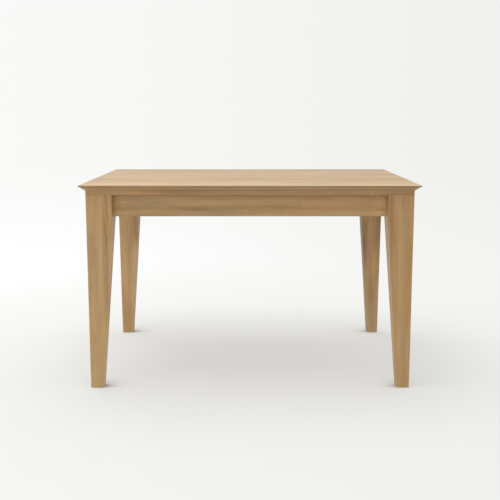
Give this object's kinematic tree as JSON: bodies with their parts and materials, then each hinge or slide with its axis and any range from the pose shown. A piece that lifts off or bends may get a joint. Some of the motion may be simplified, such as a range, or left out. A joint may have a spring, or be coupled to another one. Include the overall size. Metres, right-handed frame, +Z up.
{
  "type": "parsons dining table",
  "caption": "Rectangular oak dining table with an under-bevelled plank top on a recessed apron frame, standing on square legs that taper on their inner faces.",
  "frame": {"origin": "on the floor under the middle of the top", "axes": "+X along the length of the top to the right as seen from the front, +Y from the front to the back, +Z up"},
  "size_m": [1.22, 0.9, 0.75],
  "materials": {
    "oak_top": "matt clear lacquer on light oak",
    "oak_rim": "matt clear lacquer on light oak",
    "oak_leg": "matt clear lacquer on light oak",
    "oak_apron": "matt clear lacquer on light oak",
    "beech": "planed, unfinished hidden wood",
    "zinc_plate": "zinc-plated pressed steel",
    "zinc_hardware": "zinc-plated steel",
    "nylon": "moulded brown nylon"
  },
  "bodies": {
    "root": {"top_board_1": "oak_top", "top_board_2": "oak_top", "top_board_3": "oak_top", "top_board_4": "oak_top", "top_board_5": "oak_top", "top_board_6": "oak_top", "top_board_7": "oak_top", "rim_front": "oak_rim", "rim_back": "oak_rim", "rim_left": "oak_rim", "rim_right": "oak_rim", "mitre_splines": "beech", "leg_front_left": "oak_leg", "leg_front_right": "oak_leg", "leg_back_left": "oak_leg", "leg_back_right": "oak_leg", "apron_front": "oak_apron", "apron_back": "oak_apron", "apron_left": "oak_apron", "apron_right": "oak_apron", "cross_bearer": "beech", "corner_bracket_front_left": "zinc_plate", "corner_bracket_front_right": "zinc_plate", "corner_bracket_back_left": "zinc_plate", "corner_bracket_back_right": "zinc_plate", "hanger_bolts": "zinc_hardware", "bolt_washers": "zinc_hardware", "bolt_nuts": "zinc_hardware", "bracket_screws": "zinc_hardware", "rim_screws": "zinc_hardware", "clip_screws": "zinc_hardware", "bearer_screws": "zinc_hardware", "top_clips": "zinc_hardware", "foot_glide_front_left": "nylon", "foot_glide_front_right": "nylon", "foot_glide_back_left": "nylon", "foot_glide_back_right": "nylon"}
  },
  "joints": []
}
